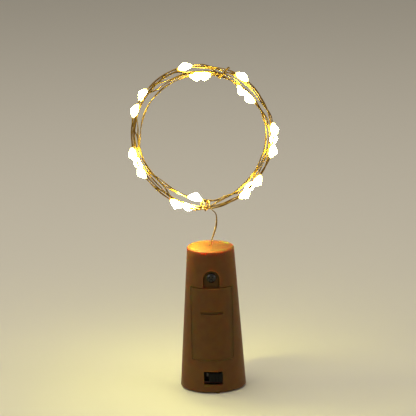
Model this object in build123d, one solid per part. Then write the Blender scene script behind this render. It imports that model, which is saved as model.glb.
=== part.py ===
from build123d import *
import math
import os

# Cork bottle light: a tapered battery plug with a wound string of LED drops.
# Millimetres. The origin is on the floor under the plug's axis, +Z is up and the front faces -Y.

# Plug body
base_diameter = 26.4
top_diameter = 18.8
body_height = 57.5
wall = 1.6
cavity_sides = 36
top_plate = 2.2
top_bevel = 0.6
base_bevel = 0.3
foot_height = 0.5
foot_diameter = 1.5
foot_count = 3
front_foot_turn = 8.0

# Cap in the wide end
cap_thickness = 1.3
cap_gap = 0.1

# Battery door
door_rise = 13.1
door_height = 29.1
door_width = 16.3
door_thickness = 1.4
door_gap = 0.15
door_top_gap = 0.4
seat_gap = 0.1
rail_width = 1.0
rail_depth = 1.4
rail_back = -4.0
grip_width = 8.9
grip_height = 1.3
grip_depth = 0.7
grip_rise = 19.2
tongue_width = 8.0
tongue_drop = 1.2
tongue_thickness = 1.0
tongue_root = 2.0
rib_spacing = 6.0
rib_width = 1.0
rib_length = 14.0

# Screw pocket above the door
pocket_width = 6.5
pocket_depth = 1.9
pocket_wall = 1.4
screw_rise = 4.1
ear_thickness = 1.4
ear_root = 2.0
ear_gap = 0.3
ear_top_gap = 0.5
boss_diameter = 4.6
boss_depth = 3.2
boss_play = 0.35

# Door screw
head_diameter = 3.7
head_height = 1.2
shank_diameter = 1.8
shank_bite = 2.0
cross_length = 2.2
cross_width = 0.55
cross_depth = 0.8
screw_play = 0.1

# Button cells in their cradle
cell_diameter = 11.6
cell_height = 5.4
cell_count = 3
cell_cap_diameter = 9.4
cell_cap_lift = 0.35
cell_gap = 0.2
trough_wall = 1.2
shelf_rise = 3.4
shelf_thickness = 1.4
cradle_gap = 0.15
plate_thickness = 0.3
plate_diameter = 8.6
tab_width = 1.4
spring_height = 5.2
spring_wire = 0.5
spring_turns = 3
spring_base_diameter = 7.4
spring_tip_diameter = 4.2
spring_sides = 3

# Slide switch in the window under the door
window_width = 7.6
window_height = 5.5
window_rise = 3.0
window_round = 0.4
frame_width = 10.0
frame_lap = 0.1
frame_depth = 3.6
frame_sheet = 0.35
switch_gap = 0.15
knob_width = 5.2
knob_height = 3.8
knob_sink = 0.5
knob_travel = 2.0
knob_play = 0.15
knob_ridges = 3
ridge_depth = 0.3
flange_thickness = 0.9
base_thickness = 1.0
terminal_pitch = 2.0
terminal_width = 0.6
terminal_tail = 1.2
pad_width = 1.4
contact_sheet = 0.2

# Switch board and the leads behind the cells
board_thickness = 1.0
board_top_rise = 13.4
cheek_wall = 1.2
cheek_groove = 0.6
resistor_length = 3.2
resistor_width = 1.6
resistor_height = 0.6
lead_diameter = 1.0
lead_play = 0.35
lead_spacing = 1.6
lead_bend = 4.0
tail_bend = 2.0
glue_diameter = 6.0
glue_depth = 2.0

# String of LED drops
wire_diameter = 0.6
wire_sides = 3
wire_hole_diameter = 1.2
led_count = 20
led_spacing = 48.5
leds_per_round = 7
turns_per_round = 2
first_led = 92.7
string_end = 75.0
bead_diameter = 2.0
bead_tip_diameter = 1.3
bead_length = 4.0
bead_sides = 6
bead_bore = 0.9
bead_gap = 0.05
bead_row_gap = 0.4

# The ring that the string is wound in, seen from the front and counted clockwise from its start
ring_x = -2.1
ring_rise = 45.4
ring_layers = 2
ring_start = 260.0
wrap_gap = 0.12
lower_wrap_start = 274.5
lower_wrap_turns = 1.75
lower_wrap_pitch = 2.0
upper_wrap_lag = 4.0
upper_wrap_turns = 0.85
upper_wrap_pitch = 4.0

# Route of the lead from the hole to the ring, measured from the middle of the top face
lead_route = [
    (0.1, 0.0, 1.0),
    (1.5, 0.0, 4.6),
    (2.65, -0.3, 8.2),
    (2.75, -0.9, 11.8),
    (1.5, -2.4, 14.2),
]

# Places worked out from the sizes above
STAND = (Align.CENTER, Align.CENTER, Align.MIN)
rim_z = foot_height
top_z = foot_height + body_height
ceiling_z = top_z - top_plate
taper = (base_diameter - top_diameter) / 2 / body_height
reach = base_diameter


def radius_at(z):
    """Outer radius of the plug at a height above the floor."""
    return base_diameter / 2 - taper * (z - rim_z)


door_low = rim_z + door_rise
door_high = door_low + door_height
grip_z = door_low + grip_rise
screw_z = door_high + screw_rise
ear_front = pocket_depth - radius_at(screw_z)
ear_back = ear_front + ear_thickness
pocket_floor = ear_back + seat_gap
shelf_z = door_low + shelf_rise
spring_z = shelf_z + plate_thickness
stack_z = spring_z + spring_height
roof_plate_z = stack_z + cell_count * cell_height
roof_z = roof_plate_z + plate_thickness
trough_inner = cell_diameter / 2 + cell_gap
trough_outer = trough_inner + trough_wall
lead_channel = lead_diameter + 2 * lead_play
stack_y = radius_at(roof_z + shelf_thickness) - wall - lead_channel - trough_outer
lead_y = stack_y + trough_outer + lead_channel / 2
window_z = rim_z + window_rise + window_height / 2
frame_height = window_height + 2 * frame_lap
frame_front = switch_gap - math.sqrt(
    (radius_at(window_z + frame_height / 2) - wall) ** 2 - (frame_width / 2) ** 2
)
frame_back = frame_front + frame_depth
switch_base_front = frame_back - base_thickness
board_front = frame_back + seat_gap
board_back = board_front + board_thickness
knob_x = knob_travel / 2
ring_z = top_z + ring_rise
round_drift = bead_length + bead_row_gap
ring_radius = (leds_per_round * led_spacing - round_drift) / turns_per_round / (2 * math.pi)
turn_pitch = (bead_diameter + wire_diameter) / 2 + bead_gap
string_length = first_led + (led_count - 1) * led_spacing + string_end
ring_turns = string_length / (2 * math.pi * ring_radius)
layer_turns = ring_turns / ring_layers
ring_span = layer_turns * turn_pitch
bundle_corner = math.hypot(ring_span / 2, turn_pitch * (ring_layers - 1) / 2)
wrap_radius = bundle_corner + wire_diameter + wrap_gap


def block(x0, x1, y0, y1, z0, z1):
    """Box between two corners."""
    middle = Pos((x0 + x1) / 2, (y0 + y1) / 2, (z0 + z1) / 2)
    return middle * Box(x1 - x0, y1 - y0, z1 - z0)


def plug_core(inset, low, high):
    """The plug's tapered form between two heights, drawn in by an inset."""
    return Pos(0, 0, low) * Cone(radius_at(low) - inset, radius_at(high) - inset, high - low, align=STAND)


def plug_band(inset, depth, low, high):
    """A conical wall that lies an inset under the plug's surface."""
    return plug_core(inset, low, high) - plug_core(inset + depth, low, high)


def faceted_body(outline, sides):
    """Body of flat faces between regular polygons with the radii and heights of an outline."""
    turns = [2 * math.pi * side / sides for side in range(sides)]
    rings = []
    for radius, z in outline:
        rings.append([Vector(radius * math.cos(turn), radius * math.sin(turn), z) for turn in turns])
    faces = [Face(Wire.make_polygon(rings[0])), Face(Wire.make_polygon(rings[-1]))]
    for low, high in zip(rings, rings[1:]):
        for side in range(sides):
            after = (side + 1) % sides
            faces.append(Face(Wire.make_polygon([low[side], low[after], high[after], high[side]])))
    return Solid(Shell(faces))


def plug_cavity():
    """Hollow of the plug, whose flat sides touch the tapered inner wall."""
    corner = math.cos(math.pi / cavity_sides)
    return faceted_body([((radius_at(z) - wall) / corner, z) for z in (rim_z, ceiling_z)], cavity_sides)


def from_front(outline, y0, y1):
    """Prism from an outline drawn as seen from the front, between two depths."""
    return extrude(Plane.XZ.offset(-y1) * outline, y1 - y0)


def arch(half_width, low, middle):
    """Outline with a flat foot and a round head."""
    body = Pos(0, (low + middle) / 2) * Rectangle(2 * half_width, middle - low)
    head = Circle(half_width) & Pos(0, half_width / 2) * Rectangle(2 * half_width, half_width)
    return body + Pos(0, middle) * head


def along_y(radius, y0, y1, z):
    """Cylinder that runs from front to back."""
    return Pos(0, y1, z) * Rot(90, 0, 0) * Cylinder(radius, y1 - y0, align=STAND)


def cork_shell():
    outer = plug_core(0, rim_z, top_z)
    outer = chamfer(outer.edges().group_by(Axis.Z)[-1], top_bevel)
    outer = chamfer(outer.edges().group_by(Axis.Z)[0], base_bevel)
    shell = outer - plug_cavity()
    half_opening = door_width / 2 + door_gap
    shell -= block(-half_opening, half_opening, -reach, 0, door_low - door_gap, door_high + door_top_gap)
    rails = plug_band(door_thickness + seat_gap, rail_depth, door_low, door_high)
    rail_inside = door_width / 2 - rail_width
    rail_outside = half_opening + rail_width
    for side in (-1, 1):
        edges = sorted((side * rail_inside, side * rail_outside))
        shell += rails & block(*edges, -reach, rail_back, door_low, door_high)
    pocket_low = door_high + door_top_gap
    casing = from_front(
        arch(pocket_width / 2 + pocket_wall, pocket_low, screw_z), -reach, pocket_floor + pocket_wall
    )
    shell += casing & plug_core(wall / 2, door_high, ceiling_z)
    shell += along_y(boss_diameter / 2, pocket_floor + pocket_wall / 2, pocket_floor + boss_depth, screw_z)
    shell -= from_front(arch(pocket_width / 2, pocket_low - seat_gap, screw_z), -reach, pocket_floor)
    bite_end = pocket_floor + shank_bite + screw_play
    shell -= along_y(shank_diameter / 2 + boss_play, pocket_floor, bite_end, screw_z)
    window = Pos(0, window_z) * RectangleRounded(window_width, window_height, window_round)
    shell -= from_front(window, -reach, frame_front)
    shell -= Pos(0, 0, ceiling_z) * Cylinder(wire_hole_diameter / 2, top_plate, align=STAND)
    foot_circle = (base_diameter - wall) / 2
    for turn in range(foot_count):
        angle = math.radians(front_foot_turn - 90 + 360 * turn / foot_count)
        place = Pos(foot_circle * math.cos(angle), foot_circle * math.sin(angle), 0)
        shell += place * Cylinder(foot_diameter / 2, foot_height + base_bevel, align=STAND)
    return shell


def base_cap():
    cap_radius = radius_at(rim_z + cap_thickness) - wall - cap_gap
    return Pos(0, 0, rim_z) * Cylinder(cap_radius, cap_thickness, align=STAND)


def battery_door():
    panel = plug_band(0, door_thickness, door_low, door_high)
    panel &= block(-door_width / 2, door_width / 2, -reach, 0, door_low, door_high)
    under_skin = plug_core(door_thickness / 2, door_low, door_high)
    half_ear = pocket_width / 2 - ear_gap
    web = block(-half_ear, half_ear, -reach, ear_back, door_high - ear_root, door_high)
    panel += web & under_skin
    ear_head = screw_z + pocket_width / 2 - ear_top_gap - half_ear
    panel += from_front(arch(half_ear, door_high - ear_root, ear_head), ear_front, ear_back)
    panel -= along_y(shank_diameter / 2 + screw_play, ear_front, ear_back, screw_z)
    lip_inset = wall + seat_gap
    hook_low = door_low - tongue_drop
    hook_high = door_low + tongue_root
    half_tongue = tongue_width / 2
    hook = plug_band(lip_inset, tongue_thickness, hook_low, hook_high)
    panel += hook & block(-half_tongue, half_tongue, -reach, 0, hook_low, hook_high)
    heel_depth = lip_inset + (tongue_thickness - door_thickness) / 2
    heel = plug_band(door_thickness / 2, heel_depth, door_low, hook_high)
    panel += heel & block(-half_tongue, half_tongue, -reach, 0, door_low, hook_high)
    rib_back = stack_y - cell_diameter / 2 - cell_gap - seat_gap
    rib_low = (stack_z + roof_plate_z - rib_length) / 2
    for side in (-1, 1):
        middle = side * rib_spacing / 2
        rib = block(
            middle - rib_width / 2, middle + rib_width / 2, -reach, rib_back, rib_low, rib_low + rib_length
        )
        panel += rib & under_skin
    slot = from_front(Pos(0, grip_z) * Rectangle(grip_width, grip_height), -reach, 0)
    panel -= slot - plug_core(grip_depth, door_low, door_high)
    return panel


def door_screw():
    shank_length = ear_thickness + seat_gap + shank_bite
    head = Cylinder(head_diameter / 2, head_height, align=STAND)
    head = chamfer(head.edges().group_by(Axis.Z)[-1], head_height / 3, head_height / 2)
    floor = Pos(0, 0, head_height - cross_depth)
    for turn in (45, 135):
        head -= floor * Rot(0, 0, turn) * Box(cross_length, cross_width, cross_depth, align=STAND)
    shank = Cylinder(shank_diameter / 2, shank_length, align=(Align.CENTER, Align.CENTER, Align.MAX))
    return Pos(0, ear_front, screw_z) * Rot(90, 0, 0) * (head + shank)


def battery_cradle():
    shelf_low = shelf_z - shelf_thickness
    roof_high = roof_z + shelf_thickness
    back_zone = block(-reach, reach, stack_y, reach, shelf_low, roof_high)
    half_cell = cell_diameter / 2
    front_zone = block(-half_cell, half_cell, stack_y - half_cell + cell_gap, stack_y, shelf_low, roof_high)
    place = Pos(0, stack_y, shelf_low)
    tall = roof_high - shelf_low
    cradle = place * (
        Cylinder(trough_outer, tall, align=STAND) - Cylinder(trough_inner, tall, align=STAND)
    ) & back_zone
    for low in (shelf_low, roof_z):
        disc = plug_core(wall + cradle_gap, low, low + shelf_thickness)
        cradle += disc & (back_zone + front_zone)
    half_notch = lead_spacing + tab_width / 2 + lead_play
    cradle -= block(-half_notch, half_notch, stack_y + trough_outer + seat_gap, reach, shelf_low, roof_high)
    for side, z in ((-1, shelf_z), (1, roof_plate_z)):
        middle = side * lead_spacing
        slot_half = tab_width / 2 + cradle_gap
        cradle -= block(middle - slot_half, middle + slot_half, stack_y, reach, z, z + plate_thickness)
    cheek_inside = frame_width / 2 + seat_gap
    cheek_outside = cheek_inside + cheek_wall
    cheek_low = board_low()
    for side in (-1, 1):
        edges = sorted((side * cheek_inside, side * cheek_outside))
        cheek = block(*edges, frame_front + frame_sheet, stack_y + cheek_wall, cheek_low, shelf_z)
        groove = sorted((side * cheek_inside, side * (cheek_inside + cheek_groove)))
        cheek -= block(*groove, board_front - seat_gap, board_back + seat_gap, cheek_low, shelf_low)
        cradle += cheek & plug_core(wall + cradle_gap, cheek_low, shelf_z)
    return cradle


def button_cell(index):
    """Button cell with its raised cap down."""
    can = Pos(0, 0, cell_cap_lift) * Cylinder(cell_diameter / 2, cell_height - cell_cap_lift, align=STAND)
    cap = Cylinder(cell_cap_diameter / 2, cell_cap_lift, align=STAND)
    return Pos(0, stack_y, stack_z + index * cell_height) * (can + cap)


def contact_plate(side, z):
    """Round contact with a solder tab that reaches the leads behind the trough."""
    tab_end = lead_y + lead_diameter / 2
    tab_middle = (stack_y + tab_end) / 2
    outline = Pos(0, stack_y) * Circle(plate_diameter / 2)
    outline += Pos(side * lead_spacing, tab_middle) * Rectangle(tab_width, tab_end - stack_y)
    return Pos(0, 0, z) * extrude(outline, plate_thickness)


def biarc(start, start_way, end, end_way):
    """Two arcs that join two points and keep the direction at both."""
    across = end - start
    both = start_way + end_way
    spread = 2 * (1 - start_way.dot(end_way))
    lean = across.dot(both)
    if spread < 1e-9:
        handle = across.dot(across) / (2 * lean)
    else:
        handle = (math.sqrt(lean**2 + spread * across.dot(across)) - lean) / spread
    middle = (start + end + (start_way - end_way) * handle) * 0.5
    middle_way = (end - end_way * handle - start - start_way * handle).normalized()
    return [bend(start, start_way, middle), bend(middle, middle_way, end)]


def bend(start, way, end):
    """Arc that leaves a point in a given direction, or a line where it is straight."""
    if (end - start).normalized().cross(way).length < 1e-6:
        return Edge.make_line(start, end)
    return Edge.make_tangent_arc(start, way, end)


def wound_path(stations):
    """Unbroken path of biarcs, as a list of edges, through points with directions."""
    edges = []
    for (start, start_way), (end, end_way) in zip(stations, stations[1:]):
        edges += biarc(start, start_way, end, end_way)
    return edges


def path_length(edges):
    return sum(edge.length for edge in edges)


def with_straight_ends(stations, run):
    """Adds a straight run before the first station and after the last."""
    first, first_way = stations[0]
    last, last_way = stations[-1]
    return [(first - first_way * run, first_way)] + stations + [(last + last_way * run, last_way)]


def stations_on(curve, count):
    """Points and directions at even steps of a curve's parameter from 0 to 1."""
    step = 1e-5
    stations = []
    for index in range(count + 1):
        at = index / count
        way = curve(min(at + step, 1)) - curve(max(at - step, 0))
        stations.append((curve(at), way.normalized()))
    return stations


def swept_wire(edges, diameter, sides):
    """Wire of flat-sided section along a path."""
    section = Plane(origin=edges[0] @ 0, z_dir=edges[0] % 0) * RegularPolygon(diameter / 2, sides)
    return sweep(section, path=Wire(edges))


def least_gap(edges, diameter, apart):
    """Least clear gap between stretches of a path that lie a given length apart along it."""
    points = []
    passed = 0
    for edge in edges:
        count = max(1, round(edge.length / diameter))
        points += [(edge @ (step / count), passed + edge.length * step / count) for step in range(count)]
        passed += edge.length
    nearest = min(
        (one - two).length
        for index, (one, one_at) in enumerate(points)
        for two, two_at in points[index:]
        if two_at - one_at > apart
    )
    return nearest - diameter


def report(name, edges, diameter, turn_length):
    gap = least_gap(edges, diameter, turn_length / 2)
    print(f"{name}: length {path_length(edges):.1f}, least gap {gap:.2f}")


def spring_curve(at):
    """Cone-shaped spring, wide at its foot."""
    radius = (spring_base_diameter + (spring_tip_diameter - spring_base_diameter) * at) / 2
    angle = 2 * math.pi * spring_turns * at
    rise = spring_height - 4 * spring_wire
    return Vector(
        radius * math.cos(angle),
        stack_y + radius * math.sin(angle),
        spring_z + 2 * spring_wire + rise * at,
    )


def negative_spring():
    turns = stations_on(spring_curve, 4 * spring_turns)
    up = Vector(0, 0, 1)
    foot, foot_way = turns[0]
    tip, tip_way = turns[-1]
    step = 2 * spring_wire
    foot_end = foot - foot_way * step
    tip_end = tip + tip_way * step
    foot_end = Vector(foot_end.X, foot_end.Y, spring_z + spring_wire)
    tip_end = Vector(tip_end.X, tip_end.Y, stack_z - spring_wire)
    stations = with_straight_ends([(foot_end, up)] + turns + [(tip_end, up)], spring_wire)
    path = wound_path(stations)
    report("spring", path, spring_wire, math.pi * spring_tip_diameter)
    return swept_wire(path, spring_wire, spring_sides)


def switch_frame():
    low = window_z - frame_height / 2
    high = window_z + frame_height / 2
    half = frame_width / 2
    sheet = frame_sheet
    frame = block(-half, half, frame_front, frame_back, low, high)
    frame -= block(-half + sheet, half - sheet, frame_front + sheet, frame_back, low + sheet, high - sheet)
    slot_width = knob_width + knob_travel + 2 * knob_play
    slot = Pos(0, window_z) * Rectangle(slot_width, knob_height + 2 * knob_play)
    return frame - from_front(slot, frame_front, frame_front + sheet)


def terminal_bar(index, width, front, back):
    """Square bar at one of the switch's three terminals, between two depths."""
    return Pos((index - 1) * terminal_pitch, (front + back) / 2, window_z) * Box(width, back - front, width)


def terminal_leg(index):
    return terminal_bar(index, terminal_width, switch_base_front, board_back + terminal_tail)


def switch_base():
    width = frame_width - 2 * frame_sheet
    height = frame_height - 2 * frame_sheet
    base = Pos(0, frame_back - base_thickness / 2, window_z) * Box(width, base_thickness, height)
    for index in range(3):
        base -= terminal_leg(index)
    return base


def switch_terminals():
    terminals = []
    for index in range(3):
        pad = terminal_bar(index, pad_width, switch_base_front - contact_sheet, switch_base_front)
        terminals.append(terminal_leg(index) + pad)
    return terminals


def flange_back():
    return frame_front + frame_sheet + knob_play + flange_thickness


def switch_knob():
    face = knob_sink - radius_at(window_z)
    half = knob_width / 2
    low = window_z - knob_height / 2
    high = window_z + knob_height / 2
    knob = block(knob_x - half, knob_x + half, face, flange_back(), low, high)
    flange_half = half + frame_sheet
    flange_rise = frame_height / 2 - frame_sheet - knob_play
    knob += block(
        knob_x - flange_half,
        knob_x + flange_half,
        frame_front + frame_sheet + knob_play,
        flange_back(),
        window_z - flange_rise,
        window_z + flange_rise,
    )
    ridge_pitch = knob_width / (knob_ridges + 1)
    for index in range(knob_ridges):
        middle = knob_x - half + (index + 1) * ridge_pitch
        knob -= block(middle - ridge_pitch / 4, middle + ridge_pitch / 4, face, face + ridge_depth, low, high)
    return knob


def switch_wiper():
    """Bent contact strip under the knob that bridges two terminals."""
    seat = flange_back()
    foot = switch_base_front - contact_sheet - seat_gap
    half_strip = terminal_width
    reach_x = terminal_pitch * 0.8
    sheet = contact_sheet
    low = window_z - half_strip
    high = window_z + half_strip
    strip = block(knob_x - reach_x, knob_x + reach_x, seat, seat + sheet, low, high)
    for side in (-1, 1):
        edges = sorted((knob_x + side * reach_x, knob_x + side * (reach_x - sheet)))
        strip += block(*edges, seat, foot, low, high)
        toes = sorted((knob_x + side * reach_x, knob_x + side * reach_x * 0.6))
        strip += block(*toes, foot - sheet, foot, low, high)
    return strip


def board_low():
    return rim_z + cap_thickness + seat_gap


def circuit_board():
    half = frame_width / 2 + cheek_groove
    board = block(-half, half, board_front, board_back, board_low(), rim_z + board_top_rise)
    for index in range(3):
        board -= terminal_bar(index, 2 * terminal_width, board_front, board_back)
    return board


def resistor():
    middle = rim_z + board_top_rise - 2 * resistor_width
    x0 = frame_width / 2 - resistor_length
    return block(
        x0,
        x0 + resistor_length,
        board_back,
        board_back + resistor_height,
        middle - resistor_width / 2,
        middle + resistor_width / 2,
    )


def lead(points, radii, diameter):
    """Wire along straight runs and tangent arcs."""
    path = FilletPolyline(*points, radius=radii)
    section = Plane(origin=path @ 0, z_dir=path % 0) * RegularPolygon(diameter / 2, wire_sides)
    return sweep(section, path=path)


def pad_z(index):
    """Heights of the solder pads on the back of the board, one for each lead."""
    return window_z + (index + 1) * lead_spacing


def battery_lead(side, z, pad):
    x = side * lead_spacing
    points = [(x, lead_y, z), (x, lead_y, pad_z(pad)), (x, board_back, pad_z(pad))]
    return lead(points, [lead_bend], lead_diameter)


def string_tail():
    knee = screw_z
    points = [
        (0, 0, ceiling_z),
        (0, 0, ceiling_z - glue_depth - tail_bend),
        (0, lead_y, knee),
        (0, lead_y, pad_z(2)),
        (0, board_back, pad_z(2)),
    ]
    return lead(points, [tail_bend, tail_bend, lead_bend], wire_diameter)


def glue_plug():
    blob = Cylinder(glue_diameter / 2, glue_depth, align=STAND)
    blob -= Cylinder(wire_diameter / 2 + bead_gap, glue_depth, align=STAND)
    return Pos(0, 0, ceiling_z - glue_depth) * blob


def ring_point(angle, radius, y):
    """Point on the standing ring, at an angle counted as seen from the front."""
    turn = math.radians(angle)
    return Vector(ring_x + radius * math.cos(turn), y, ring_z + radius * math.sin(turn))


def coil_curve(at):
    """The ring's turns: they spiral in and out, and climb to the next layer as the spiral turns back."""
    turn = at * ring_turns
    layer = min(int(turn / layer_turns), ring_layers - 1)
    share = turn / layer_turns - layer
    if layer % 2:
        share = 1 - share
    radius = ring_radius + ring_span * (0.5 - share)
    depth = -(ring_layers - 1) / 2
    for climb in range(1, ring_layers):
        rise = min(max(2 * (turn - climb * layer_turns) + 0.5, 0), 1)
        depth += rise * rise * (3 - 2 * rise)
    return ring_point(ring_start - 360 * turn, radius, depth * turn_pitch)


def wrap_curve(start, turns, pitch, roll, way):
    """Turns of wire round the ring's bundle, going clockwise along it."""

    def curve(at):
        swing = math.radians(roll + way * 360 * turns * at)
        angle = start - math.degrees(pitch * turns * at / ring_radius)
        return ring_point(angle, ring_radius + wrap_radius * math.cos(swing), wrap_radius * math.sin(swing))

    return curve


lower_wrap_curve = wrap_curve(lower_wrap_start, lower_wrap_turns, lower_wrap_pitch, -90, -1)
upper_wrap_start = ring_start - 360 * ring_turns - upper_wrap_lag
upper_wrap_curve = wrap_curve(upper_wrap_start, upper_wrap_turns, upper_wrap_pitch, 90, 1)
coil_steps = round(4 * ring_turns)
coil_stations = with_straight_ends(stations_on(coil_curve, coil_steps), wire_diameter)
coil_path = wound_path(coil_stations)


def string_coil():
    report("coil", coil_path, wire_diameter, 2 * math.pi * ring_radius)
    return swept_wire(coil_path, wire_diameter, wire_sides)


def lower_wrap():
    stations = with_straight_ends(stations_on(lower_wrap_curve, round(4 * lower_wrap_turns)), wire_diameter)
    path = wound_path(stations + [coil_stations[0]])
    report("lower wrap", path, wire_diameter, 2 * math.pi * wrap_radius)
    return swept_wire(path, wire_diameter, wire_sides)


def upper_wrap():
    stations = with_straight_ends(stations_on(upper_wrap_curve, round(4 * upper_wrap_turns)), wire_diameter)
    path = wound_path([coil_stations[-1]] + stations)
    report("upper wrap", path, wire_diameter, 2 * math.pi * wrap_radius)
    return swept_wire(path, wire_diameter, wire_sides)


def string_lead():
    end, way = stations_on(lower_wrap_curve, 4)[0]
    end = end - way * wire_diameter
    points = [Vector(0, 0, ceiling_z)]
    points += [Vector(x, y, top_z + z) for x, y, z in lead_route]
    points += [end - way * 2 * wire_diameter, end]
    radii = []
    for before, here, after in zip(points, points[1:], points[2:]):
        turn = (here - before).get_angle(after - here)
        run = min((here - before).length, (after - here).length)
        radii.append(0.45 * run / math.tan(math.radians(turn / 2)))
    print("lead: radii", [round(radius, 1) for radius in radii])
    return lead(points, radii, wire_diameter)


def led_place(index):
    """Frame of a drop on the wire, with its Z along the wire and its X away from the ring's middle."""
    turn = (first_led + index * led_spacing) / (2 * math.pi * ring_radius)
    step = 2 * coil_steps * turn / ring_turns
    edge = coil_path[2 + int(step)]
    middle = edge @ (step % 1)
    way = edge % (step % 1)
    outward = Vector(middle.X - ring_x, 0, middle.Z - ring_z)
    return Plane(origin=middle, x_dir=outward, z_dir=way)


def faceted_drop():
    """Drop of flat faces, widest at its middle."""
    tip = bead_tip_diameter / 2
    half = bead_length / 2
    return faceted_body([(tip, -half), (bead_diameter / 2, 0), (tip, half)], bead_sides)


def led_bead(index):
    bore = extrude(RegularPolygon(bead_bore / 2, bead_sides), bead_length / 2, both=True)
    return led_place(index) * (faceted_drop() - bore)


def write(name, piece):
    solids = piece if isinstance(piece, list) else [piece]
    shape = Compound(children=[solid for part in solids for solid in part.solids()])
    export_step(shape, f"parts/{name}.step")


pieces = {
    "cork_shell": cork_shell,
    "base_cap": base_cap,
    "battery_door": battery_door,
    "door_screw": door_screw,
    "battery_cradle": battery_cradle,
    "negative_spring": negative_spring,
    "switch_frame": switch_frame,
    "switch_base": switch_base,
    "switch_terminals": switch_terminals,
    "switch_knob": switch_knob,
    "switch_wiper": switch_wiper,
    "circuit_board": circuit_board,
    "resistor": resistor,
    "string_tail": string_tail,
    "glue_plug": glue_plug,
    "string_lead": string_lead,
    "lower_wrap": lower_wrap,
    "string_coil": string_coil,
    "upper_wrap": upper_wrap,
}

os.makedirs("parts", exist_ok=True)
for name, make in pieces.items():
    write(name, make())
for index in range(cell_count):
    write(f"button_cell_{index + 1}", button_cell(index))
for index in range(led_count):
    write(f"led_bead_{index + 1:02d}", led_bead(index))
write("negative_plate", contact_plate(-1, shelf_z))
write("positive_plate", contact_plate(1, roof_plate_z))
write("negative_wire", battery_lead(-1, shelf_z, 0))
write("positive_wire", battery_lead(1, roof_plate_z, 1))
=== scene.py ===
"""Looks of a cork bottle light: brown moulded plug, slide switch and a wound string of LED drops."""

import math

import bmesh
import bpy
from mathutils import Matrix, Quaternion, Vector


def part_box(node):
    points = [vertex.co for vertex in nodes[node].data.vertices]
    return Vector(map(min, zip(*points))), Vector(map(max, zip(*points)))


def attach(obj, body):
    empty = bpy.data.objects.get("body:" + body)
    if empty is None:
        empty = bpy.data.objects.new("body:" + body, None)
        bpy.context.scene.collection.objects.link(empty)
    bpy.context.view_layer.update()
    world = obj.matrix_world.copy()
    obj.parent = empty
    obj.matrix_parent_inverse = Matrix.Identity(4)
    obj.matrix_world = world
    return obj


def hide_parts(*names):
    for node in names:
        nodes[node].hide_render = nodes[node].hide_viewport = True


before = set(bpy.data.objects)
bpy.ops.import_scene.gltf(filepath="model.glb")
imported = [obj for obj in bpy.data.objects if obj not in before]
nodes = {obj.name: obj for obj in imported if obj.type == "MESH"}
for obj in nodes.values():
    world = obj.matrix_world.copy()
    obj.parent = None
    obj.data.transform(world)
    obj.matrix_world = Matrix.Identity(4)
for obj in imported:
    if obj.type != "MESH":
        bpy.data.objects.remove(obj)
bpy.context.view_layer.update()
MM = 0.001

# Camera, as the photograph was taken
VIEW_ELEVATION = 13.3
VIEW_DISTANCE = 1.05
VIEW_ROLL = -1.28
VIEW_LENS = 227.4
VIEW_TARGET = Vector((-0.64 * MM, 0, 73.5 * MM))

# String of LED drops: the spacing of the CAD model, with the ring and the drops as in the photograph.
# Angles are in degrees and counted from the right, as seen from the front.
TOP_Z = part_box("cork_shell")[1].z
CEILING_Z = TOP_Z - 2.2 * MM
WIRE = 0.6 * MM
LED_SPACING = 48.5 * MM
LEDS_PER_ROUND = 7
TURNS_PER_ROUND = 2
ROUND_DRIFT = 4.4 * MM
FIRST_LED = 90.8 * MM
STRING_END = 71.0 * MM
LED_COUNT = 20
RING_X = -1.2 * MM
RING_Z = TOP_Z + 45.4 * MM
RING_START = 256.0
BUNDLE_RADIUS = 1.4 * MM
BUNDLE_ROUND = 6
BUNDLE_ROLL = -10.0
BUNDLE_START = 0.8
SLACK_EVEN = 0.08
SLACK_TOP = 0.33
SLACK_LEFT = 0.22
# Share of the bundle's radius, waves round the ring and their start in radians
SLACK_WAVES = ((0.08, 3, 0.8), (0.05, 7, 0.0))
TIE_ANGLE = -89.0
TIE_WIDTH = 18.0
RING_SAG = 2.3 * MM
SAG_WIDTH = 28.0
RING_TIGHT = 0.2 * MM
RING_LEAN = 1.0 * MM
DROP_REACH = 2.2 * MM
DROP_BOW = 12.0 * MM
WRAP_BOW = 14.0 * MM
INWARD_DROPS = (6, 8, 11, 15, 18)
BRIGHT_DROPS = (6, 13, 20)
DROP_SIDES = (-38.0, 38.0, -30.0)
# Millimetres along the wire, off the even spacing
DROP_SHIFTS = {1: 2.0, 3: 1.2, 4: 1.6, 7: -1.5, 8: 1.0, 11: 1.2, 13: -2.5, 15: 1.6, 16: -2.0, 20: -2.5}
LOWER_WRAP = {"start": 272.6, "turns": 1.9, "pitch": 2.0 * MM, "roll": -90, "way": -1, "leaves": True}
UPPER_WRAP = {"start": 85.5, "turns": 1.0, "pitch": 5.5 * MM, "roll": 90, "way": 1, "leaves": False}
EASE_TURNS = 0.35
EASE_RUN = 2.3 * MM
# Millimetres from the hole in the plug's top
LEAD_ROUTE = [
    (0.1, 0.0, 1.0),
    (1.4, 0.0, 4.6),
    (2.6, -0.3, 8.2),
    (2.75, -0.8, 11.9),
    (2.35, -1.8, 13.9),
    (1.1, -2.5, 15.1),
]
RING_RADIUS = (LEDS_PER_ROUND * LED_SPACING - ROUND_DRIFT) / TURNS_PER_ROUND / (2 * math.pi)
STRING_LENGTH = FIRST_LED + (LED_COUNT - 1) * LED_SPACING + STRING_END
RING_TURNS = STRING_LENGTH / (2 * math.pi * RING_RADIUS)
WRAP_CLEARANCE = 1.3 * WIRE
COIL_POINTS = 48
WRAP_POINTS = 14
SPLINE_FINENESS = 6

# The wire is two strands laid round each other
STRAND_RADIUS = 0.18 * MM
STRAND_OFFSET = 0.17 * MM
STRAND_SIDES = 6
LAY_LENGTH = 26.0 * MM


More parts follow.
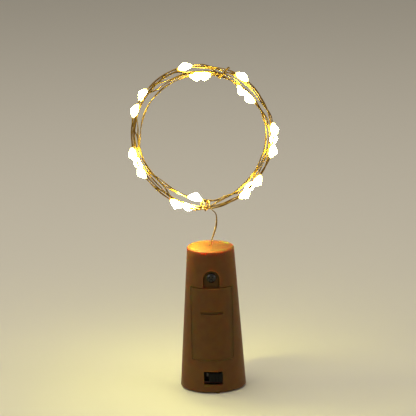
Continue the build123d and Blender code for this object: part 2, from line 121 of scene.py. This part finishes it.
def ring_point(angle, radius, depth):
    """Point on the standing ring, at an angle counted as seen from the front."""
    turn = math.radians(angle)
    return Vector((RING_X + radius * math.cos(turn), depth, RING_Z + radius * math.sin(turn)))


def led_turn(number):
    """Turns of the ring from its start to a drop, which is a little off its even spacing."""
    shift = DROP_SHIFTS.get(number, 0) * MM
    return (FIRST_LED + (number - 1) * LED_SPACING + shift) / (2 * math.pi * RING_RADIUS)


def led_side(number):
    """Side of the bundle on which a drop lies: 0 is outward, negative is the front."""
    if number in INWARD_DROPS:
        return 180.0
    return DROP_SIDES[(number - 1) // LEDS_PER_ROUND]


def angle_between(first, second):
    return (second - first + 180) % 360 - 180


def near(angle, middle, width):
    """One at a place on the ring, falling to none a few widths away from it."""
    return math.exp(-((angle_between(middle, angle) / width) ** 2))


def bundle_radius(angle):
    """Half the bundle's thickness: held by the tie, loosest at the left and the top of the ring."""
    turn = math.radians(angle)
    slack = SLACK_EVEN + SLACK_TOP * math.sin(turn) ** 2 - SLACK_LEFT * math.cos(turn)
    slack += sum(share * math.sin(waves * turn + start) for share, waves, start in SLACK_WAVES)
    return BUNDLE_RADIUS * (1 + slack * (1 - near(angle, TIE_ANGLE, TIE_WIDTH)))


def bundle_middle(angle):
    """Radius of the bundle's middle line: a ring that is fuller at the left and sags at its tie."""
    drawn = RING_TIGHT + RING_LEAN * math.cos(math.radians(angle))
    return RING_RADIUS - drawn + RING_SAG * near(angle, TIE_ANGLE, SAG_WIDTH)


def wrap_radius(angle):
    return bundle_radius(angle) + WRAP_CLEARANCE


def coil_bows():
    """Places where the wire leaves the bundle: turn, reach, side and half length of the bow."""
    numbers = range(1, LED_COUNT + 1)
    bows = [(led_turn(number), DROP_REACH, led_side(number), DROP_BOW) for number in numbers]
    lower_end = LOWER_WRAP["roll"] + LOWER_WRAP["way"] * 360 * (LOWER_WRAP["turns"] - EASE_TURNS / 2)
    bows.append((0, wrap_radius(RING_START), lower_end, WRAP_BOW))
    bows.append((RING_TURNS, wrap_radius(UPPER_WRAP["start"]), UPPER_WRAP["roll"], WRAP_BOW))
    return bows


def coil_point(at):
    """Turns lie round a middle one, shift round the bundle and bow out at each drop."""
    turn = at * RING_TURNS
    angle = RING_START - 360 * turn
    reach = bundle_radius(angle) * min(turn / BUNDLE_START, 1)
    side = BUNDLE_ROLL + 360 * turn / BUNDLE_ROUND
    for middle, bow_reach, bow_side, bow_length in coil_bows():
        away = abs(turn - middle) * 2 * math.pi * RING_RADIUS / bow_length
        if away < 1:
            bow = (1 - away**2) ** 2
            reach += bow * (bow_reach - reach)
            side += bow * angle_between(side, bow_side)
    swing = math.radians(side)
    return ring_point(angle, bundle_middle(angle) + reach * math.cos(swing), reach * math.sin(swing))


def wrap_point(at, start, turns, pitch, roll, way, leaves):
    """Turns round the bundle, which swing into line with it where they leave it or come from it."""
    ease = EASE_TURNS / turns
    if leaves:
        eased = max(at - 1 + ease, 0) / ease
        turned = at - ease * eased**2 / 2
        run = EASE_RUN * eased**2
    else:
        eased = max(ease - at, 0) / ease
        turned = at - ease * (1 - eased**2) / 2
        run = EASE_RUN * (1 - eased**2)
    swing = math.radians(roll + way * 360 * turns * turned)
    angle = start - math.degrees((pitch * turns * at + run) / RING_RADIUS)
    reach = wrap_radius(angle)
    return ring_point(angle, bundle_middle(angle) + reach * math.cos(swing), reach * math.sin(swing))


def string_route():
    """Control points of the whole string, from the hole in the plug to the loose end."""
    points = [Vector((0, 0, CEILING_Z))]
    points += [Vector((x * MM, y * MM, TOP_Z + z * MM)) for x, y, z in LEAD_ROUTE]
    count = round(LOWER_WRAP["turns"] * WRAP_POINTS)
    points += [wrap_point(step / count, **LOWER_WRAP) for step in range(count + 1)]
    count = round(RING_TURNS * COIL_POINTS)
    points += [coil_point(step / count) for step in range(count + 1)]
    count = round(UPPER_WRAP["turns"] * WRAP_POINTS)
    points += [wrap_point(step / count, **UPPER_WRAP) for step in range(count + 1)]
    return points


def spline_points(name, route, fineness):
    """Points along the smooth spline that a route controls."""
    curve = bpy.data.curves.new(name, "CURVE")
    curve.dimensions = "3D"
    spline = curve.splines.new("NURBS")
    spline.points.add(len(route) - 1)
    for point, place in zip(spline.points, route):
        point.co = (*place, 1)
    spline.order_u = 3
    spline.use_endpoint_u = True
    spline.resolution_u = fineness
    holder = bpy.data.objects.new(name, curve)
    bpy.context.scene.collection.objects.link(holder)
    mesh = bpy.data.meshes.new_from_object(holder)
    line = [vertex.co.copy() for vertex in mesh.vertices]
    bpy.data.objects.remove(holder)
    bpy.data.curves.remove(curve)
    bpy.data.meshes.remove(mesh)
    return line


def tangents(line):
    """Direction of the line at each of its points."""
    ways = []
    for index in range(len(line)):
        before = line[max(index - 1, 0)]
        after = line[min(index + 1, len(line) - 1)]
        ways.append((after - before).normalized())
    return ways


def twisted_pair(name, line):
    """Mesh of two strands laid round each other along a line."""
    mesh = bpy.data.meshes.new(name)
    shape = bmesh.new()
    ways = tangents(line)
    side = ways[0].orthogonal().normalized()
    rings = [[], []]
    gone = 0.0
    for index, (place, way) in enumerate(zip(line, ways)):
        side = (side - way * side.dot(way)).normalized()
        other = way.cross(side)
        if index:
            gone += (place - line[index - 1]).length
        lay = 2 * math.pi * gone / LAY_LENGTH
        for strand in range(2):
            swing = lay + math.pi * strand
            middle = place + STRAND_OFFSET * (side * math.cos(swing) + other * math.sin(swing))
            ring = []
            for corner in range(STRAND_SIDES):
                turn = 2 * math.pi * corner / STRAND_SIDES
                edge = side * math.cos(turn) + other * math.sin(turn)
                ring.append(shape.verts.new(middle + STRAND_RADIUS * edge))
            rings[strand].append(ring)
    for strand in rings:
        for low, high in zip(strand, strand[1:]):
            for corner in range(STRAND_SIDES):
                after = (corner + 1) % STRAND_SIDES
                shape.faces.new((low[corner], low[after], high[after], high[corner]))
        shape.faces.new(list(reversed(strand[0])))
        shape.faces.new(strand[-1])
    for face in shape.faces:
        face.smooth = True
    shape.to_mesh(mesh)
    shape.free()
    piece = bpy.data.objects.new(name, mesh)
    bpy.context.scene.collection.objects.link(piece)
    return piece


# Drops
DROP_LENGTH = 6.2 * MM
DROP_WIDTH = 2.0 * MM
DROP_CROWN = 2.3 * MM
DROP_BACK = 0.6 * MM
DROP_ROUND = 16
DROP_RINGS = 16
CROWN_POWER = 1.2
SWELL_POWER = 0.8


def led_drop(name, place, way, outward):
    """Clear resin drop on the wire, fuller on the side where the LED sits."""
    mesh = bpy.data.meshes.new(name)
    shape = bmesh.new()
    rings = []
    for step in range(1, DROP_RINGS):
        at = step / DROP_RINGS
        crown = 1 - abs(2 * at - 1) ** CROWN_POWER
        swell = math.sin(math.pi * at) ** SWELL_POWER
        ring = []
        for corner in range(DROP_ROUND):
            turn = 2 * math.pi * corner / DROP_ROUND
            depth = DROP_CROWN * crown if math.cos(turn) > 0 else DROP_BACK * swell
            outside = (STRAND_RADIUS + depth) * math.cos(turn)
            across = (STRAND_RADIUS + DROP_WIDTH / 2 * swell) * math.sin(turn)
            ring.append(shape.verts.new((outside, across, (at - 0.5) * DROP_LENGTH)))
        rings.append(ring)
    for low, high in zip(rings, rings[1:]):
        for corner in range(DROP_ROUND):
            after = (corner + 1) % DROP_ROUND
            shape.faces.new((low[corner], low[after], high[after], high[corner]))
    for ring, end in ((rings[0], -0.5), (rings[-1], 0.5)):
        tip = shape.verts.new((0, 0, end * DROP_LENGTH))
        for corner in range(DROP_ROUND):
            after = (corner + 1) % DROP_ROUND
            pair = (ring[after], ring[corner]) if end < 0 else (ring[corner], ring[after])
            shape.faces.new((*pair, tip))
    for face in shape.faces:
        face.smooth = True
    shape.to_mesh(mesh)
    shape.free()
    piece = bpy.data.objects.new(name, mesh)
    bpy.context.scene.collection.objects.link(piece)
    outward = (outward - way * outward.dot(way)).normalized()
    across = way.cross(outward)
    piece.matrix_world = Matrix(
        [
            (outward.x, across.x, way.x, place.x),
            (outward.y, across.y, way.y, place.y),
            (outward.z, across.z, way.z, place.z),
            (0, 0, 0, 1),
        ]
    )
    return piece


# Materials
def new_material(name):
    material = bpy.data.materials.new(name)
    material.use_nodes = True
    tree = material.node_tree
    shader = tree.nodes["Principled BSDF"]
    return material, tree, shader


def noise(tree, size, detail=3.0, stretch=(1, 1, 1)):
    """Noise in the object's own coordinates, with features of a given size in metres."""
    place = tree.nodes.new("ShaderNodeTexCoord")
    mapping = tree.nodes.new("ShaderNodeMapping")
    mapping.inputs["Scale"].default_value = stretch
    texture = tree.nodes.new("ShaderNodeTexNoise")
    texture.inputs["Scale"].default_value = 1 / size
    texture.inputs["Detail"].default_value = detail
    tree.links.new(place.outputs["Object"], mapping.inputs["Vector"])
    tree.links.new(mapping.outputs["Vector"], texture.inputs["Vector"])
    return texture.outputs["Fac"]


def ramp(tree, value, stops):
    """Colours or greys at stops of a value."""
    node = tree.nodes.new("ShaderNodeValToRGB")
    elements = node.color_ramp.elements
    while len(elements) < len(stops):
        elements.new(0.5)
    for element, (position, colour) in zip(elements, stops):
        element.position = position
        element.color = (*colour, 1) if len(colour) == 3 else colour
    tree.links.new(value, node.inputs["Fac"])
    return node.outputs["Color"]


def grey(value):
    return (value, value, value)


EDGE_ROUND = 0.2 * MM
EDGE_SAMPLES = 4
PLASTIC_RELIEF = 0.35
PLASTIC_SHEEN = 0.06
METAL_RELIEF = 0.3
METAL_SHEEN = 0.08
METAL_MARKS = 0.01 * MM


def bump(tree, shader, height, distance, strength, edge_round=EDGE_ROUND):
    """Relief of the surface, with the edges of the solid softened where edge_round isn't zero."""
    node = tree.nodes.new("ShaderNodeBump")
    if edge_round:
        edge = tree.nodes.new("ShaderNodeBevel")
        edge.samples = EDGE_SAMPLES
        edge.inputs["Radius"].default_value = edge_round
        tree.links.new(edge.outputs["Normal"], node.inputs["Normal"])
    node.inputs["Distance"].default_value = distance
    node.inputs["Strength"].default_value = strength
    tree.links.new(height, node.inputs["Height"])
    tree.links.new(node.outputs["Normal"], shader.inputs["Normal"])


def moulded(name, dark, light, rough, grain=0.25 * MM, depth=0.02 * MM, mottle=3 * MM):
    """Moulded plastic: mottled tone, fine spark grain, uneven sheen."""
    material, tree, shader = new_material(name)
    tone = ramp(tree, noise(tree, mottle, 4), [(0.35, dark), (0.65, light)])
    tree.links.new(tone, shader.inputs["Base Color"])
    stops = [(0.3, grey(rough - PLASTIC_SHEEN)), (0.7, grey(rough + PLASTIC_SHEEN))]
    sheen = ramp(tree, noise(tree, 6 * grain), stops)
    tree.links.new(sheen, shader.inputs["Roughness"])
    bump(tree, shader, noise(tree, grain, 2), depth, PLASTIC_RELIEF)
    return material, shader


def metal(name, dark, light, rough, streak=(1, 1, 1), grain=0.4 * MM, edge_round=EDGE_ROUND):
    """Metal with tarnish and fine marks."""
    material, tree, shader = new_material(name)
    tone = ramp(tree, noise(tree, 4 * grain, 4, streak), [(0.3, dark), (0.7, light)])
    tree.links.new(tone, shader.inputs["Base Color"])
    stops = [(0.3, grey(rough - METAL_SHEEN)), (0.7, grey(rough + METAL_SHEEN))]
    sheen = ramp(tree, noise(tree, grain, 3, streak), stops)
    tree.links.new(sheen, shader.inputs["Roughness"])
    shader.inputs["Metallic"].default_value = 1.0
    bump(tree, shader, noise(tree, grain / 2, 2, streak), METAL_MARKS, METAL_RELIEF, edge_round)
    return material, shader


def lit_drop(name, strength):
    """Resin drop lit from inside, brightest at the LED and amber towards its tips."""
    material, tree, shader = new_material(name)
    place = tree.nodes.new("ShaderNodeTexCoord")
    split = tree.nodes.new("ShaderNodeSeparateXYZ")
    tree.links.new(place.outputs["Object"], split.inputs["Vector"])
    away = tree.nodes.new("ShaderNodeMath")
    away.operation = "ABSOLUTE"
    tree.links.new(split.outputs["Z"], away.inputs[0])
    share = tree.nodes.new("ShaderNodeMath")
    share.operation = "MULTIPLY"
    share.inputs[1].default_value = 2 / DROP_LENGTH
    tree.links.new(away.outputs["Value"], share.inputs[0])
    glow = ramp(
        tree,
        share.outputs["Value"],
        [
            (0.0, (0.94, 1.0, 0.28)),
            (0.45, (0.76, 0.78, 0.19)),
            (0.72, (0.25, 0.21, 0.042)),
            (0.90, (0.045, 0.030, 0.004)),
            (1.0, (0.012, 0.006, 0.0006)),
        ],
    )
    tree.links.new(glow, shader.inputs["Emission Color"])
    shader.inputs["Emission Strength"].default_value = strength
    shader.inputs["Base Color"].default_value = (0.9, 0.82, 0.66, 1)
    shader.inputs["Roughness"].default_value = 0.15
    return material


cork_brown, cork_shader = moulded("cork_brown", (0.116, 0.043, 0.004), (0.134, 0.051, 0.005), 0.54)
cork_shader.inputs["Specular IOR Level"].default_value = 0.2
cork_shader.inputs["Subsurface Weight"].default_value = 0.85
cork_shader.inputs["Subsurface Radius"].default_value = (18.0, 2.4, 0.3)
cork_shader.inputs["Subsurface Scale"].default_value = 1.0 * MM
cradle_black, _ = moulded("cradle_black", (0.016, 0.014, 0.012), (0.024, 0.021, 0.019), 0.5)
switch_black, switch_shader = moulded(
    "switch_black", (0.003, 0.003, 0.003), (0.006, 0.006, 0.005), 0.45, grain=0.15 * MM
)
switch_shader.inputs["Specular IOR Level"].default_value = 0.12
board_green, _ = moulded("board_green", (0.010, 0.075, 0.022), (0.016, 0.100, 0.030), 0.35)
lead_black, _ = moulded("lead_black", (0.010, 0.010, 0.010), (0.016, 0.016, 0.016), 0.5)
lead_red, _ = moulded("lead_red", (0.180, 0.012, 0.008), (0.230, 0.018, 0.012), 0.5)
glue_hazy, glue_shader = moulded("glue_hazy", (0.62, 0.58, 0.46), (0.70, 0.66, 0.54), 0.4)
glue_shader.inputs["Subsurface Weight"].default_value = 0.4
glue_shader.inputs["Subsurface Radius"].default_value = (1.0, 0.8, 0.6)
glue_shader.inputs["Subsurface Scale"].default_value = 1.0 * MM
# Steel much darker than the bright steel of the real screw: painted shade, as of the screw deep in its
# shadowed pocket.
screw_steel, _ = metal("screw_steel", (0.03, 0.0285, 0.026), (0.07, 0.067, 0.061), 0.2, grain=0.2 * MM)
cell_steel, _ = metal("cell_steel", (0.52, 0.52, 0.51), (0.68, 0.68, 0.67), 0.22, streak=(1, 1, 12))
contact_steel, _ = metal("contact_steel", (0.45, 0.44, 0.42), (0.62, 0.61, 0.59), 0.30)
# Metal much darker than the real switch's tinned steel and brass contacts: painted shade inside the
# switch window.
switch_metal_painted_shade, _ = metal("switch_metal_painted_shade", (0.06, 0.058, 0.055), (0.14, 0.135, 0.125), 0.34)
copper_wire, _ = metal(
    "copper_wire", (0.20, 0.108, 0.024), (0.42, 0.25, 0.06), 0.55, grain=0.8 * MM, edge_round=0
)
drop_lit = lit_drop("drop_lit", 95.0)
drop_bright = lit_drop("drop_bright", 760.0)

FINISHES = {
    "cork_shell": cork_brown,
    "base_cap": cork_brown,
    "battery_door": cork_brown,
    "door_screw": screw_steel,
    "battery_cradle": cradle_black,
    "negative_spring": contact_steel,
    "negative_plate": contact_steel,
    "positive_plate": contact_steel,
    "switch_frame": switch_metal_painted_shade,
    "switch_base": switch_black,
    "switch_terminals": switch_metal_painted_shade,
    "switch_knob": switch_black,
    "switch_wiper": switch_metal_painted_shade,
    "circuit_board": board_green,
    "resistor": switch_black,
    "negative_wire": lead_black,
    "positive_wire": lead_red,
    "string_tail": copper_wire,
    "glue_plug": glue_hazy,
    "button_cell_1": cell_steel,
    "button_cell_2": cell_steel,
    "button_cell_3": cell_steel,
}


def finish_node(node, material):
    """Gives a CAD node its material."""
    node.data.materials.clear()
    node.data.materials.append(material)


for node_name, node_material in FINISHES.items():
    finish_node(nodes[node_name], node_material)

# The string and its drops
string_line = spline_points("route", string_route(), SPLINE_FINENESS)
string_ways = tangents(string_line)
light_string = twisted_pair("light_string", string_line)
light_string.data.materials.append(copper_wire)
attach(light_string, "plug")
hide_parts("string_lead", "lower_wrap", "string_coil", "upper_wrap")

for number in range(1, LED_COUNT + 1):
    node_name = f"led_bead_{number:02d}"
    spot = coil_point(led_turn(number) / RING_TURNS)
    nearest = min(range(len(string_line)), key=lambda index: (string_line[index] - spot).length)
    turn = math.radians(RING_START - 360 * led_turn(number))
    swing = math.radians(led_side(number))
    radial = Vector((math.cos(turn), 0, math.sin(turn)))
    outward = radial * math.cos(swing) + Vector((0, 1, 0)) * math.sin(swing)
    drop = led_drop(f"drop_{number:02d}", string_line[nearest], string_ways[nearest], outward)
    drop.data.materials.append(drop_bright if number in BRIGHT_DROPS else drop_lit)
    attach(drop, "plug")
    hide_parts(node_name)

# Floor, light and camera
FLOOR_SIZE = 8.0
floor_mesh = bpy.data.meshes.new("floor")
half = FLOOR_SIZE / 2
floor_corners = [(-half, -half, 0), (half, -half, 0), (half, half, 0), (-half, half, 0)]
floor_mesh.from_pydata(floor_corners, [], [(0, 1, 2, 3)])
floor = bpy.data.objects.new("floor", floor_mesh)
bpy.context.scene.collection.objects.link(floor)
floor_material, _, floor_shader = new_material("floor_pale")
floor_shader.inputs["Base Color"].default_value = (0.56, 0.50, 0.39, 1)
floor_shader.inputs["Roughness"].default_value = 0.7
floor_mesh.materials.append(floor_material)

scene = bpy.context.scene
world = bpy.data.worlds.new("studio")
scene.world = world
world.use_nodes = True
world.node_tree.nodes["Background"].inputs["Color"].default_value = (0.95, 0.94, 0.92, 1)
world.node_tree.nodes["Background"].inputs["Strength"].default_value = 0.34


def area_light(name, place, size, power):
    lamp = bpy.data.lights.new(name, "AREA")
    lamp.size = size
    lamp.energy = power
    holder = bpy.data.objects.new(name, lamp)
    holder.location = place
    aim = VIEW_TARGET - Vector(place)
    holder.rotation_mode = "QUATERNION"
    holder.rotation_quaternion = aim.to_track_quat("-Z", "Y")
    scene.collection.objects.link(holder)


area_light("overhead", place=(-0.15, 0.12, 0.95), size=0.8, power=5.6)
area_light("fill", place=(-0.8, -0.9, 0.55), size=0.8, power=2.6)
area_light("side", place=(0.9, -0.3, 0.4), size=0.6, power=1.2)

camera = bpy.data.objects.new("camera", bpy.data.cameras.new("camera"))
scene.collection.objects.link(camera)
scene.camera = camera
tilt = math.radians(VIEW_ELEVATION)
back = Vector((0, -math.cos(tilt), math.sin(tilt)))
camera.location = VIEW_TARGET + back * VIEW_DISTANCE
camera.rotation_mode = "QUATERNION"
roll = Quaternion((0, 0, 1), math.radians(VIEW_ROLL))
camera.rotation_quaternion = (-back).to_track_quat("-Z", "Y") @ roll
camera.data.sensor_width = 36.0
camera.data.lens = VIEW_LENS
scene.view_settings.view_transform = "Standard"
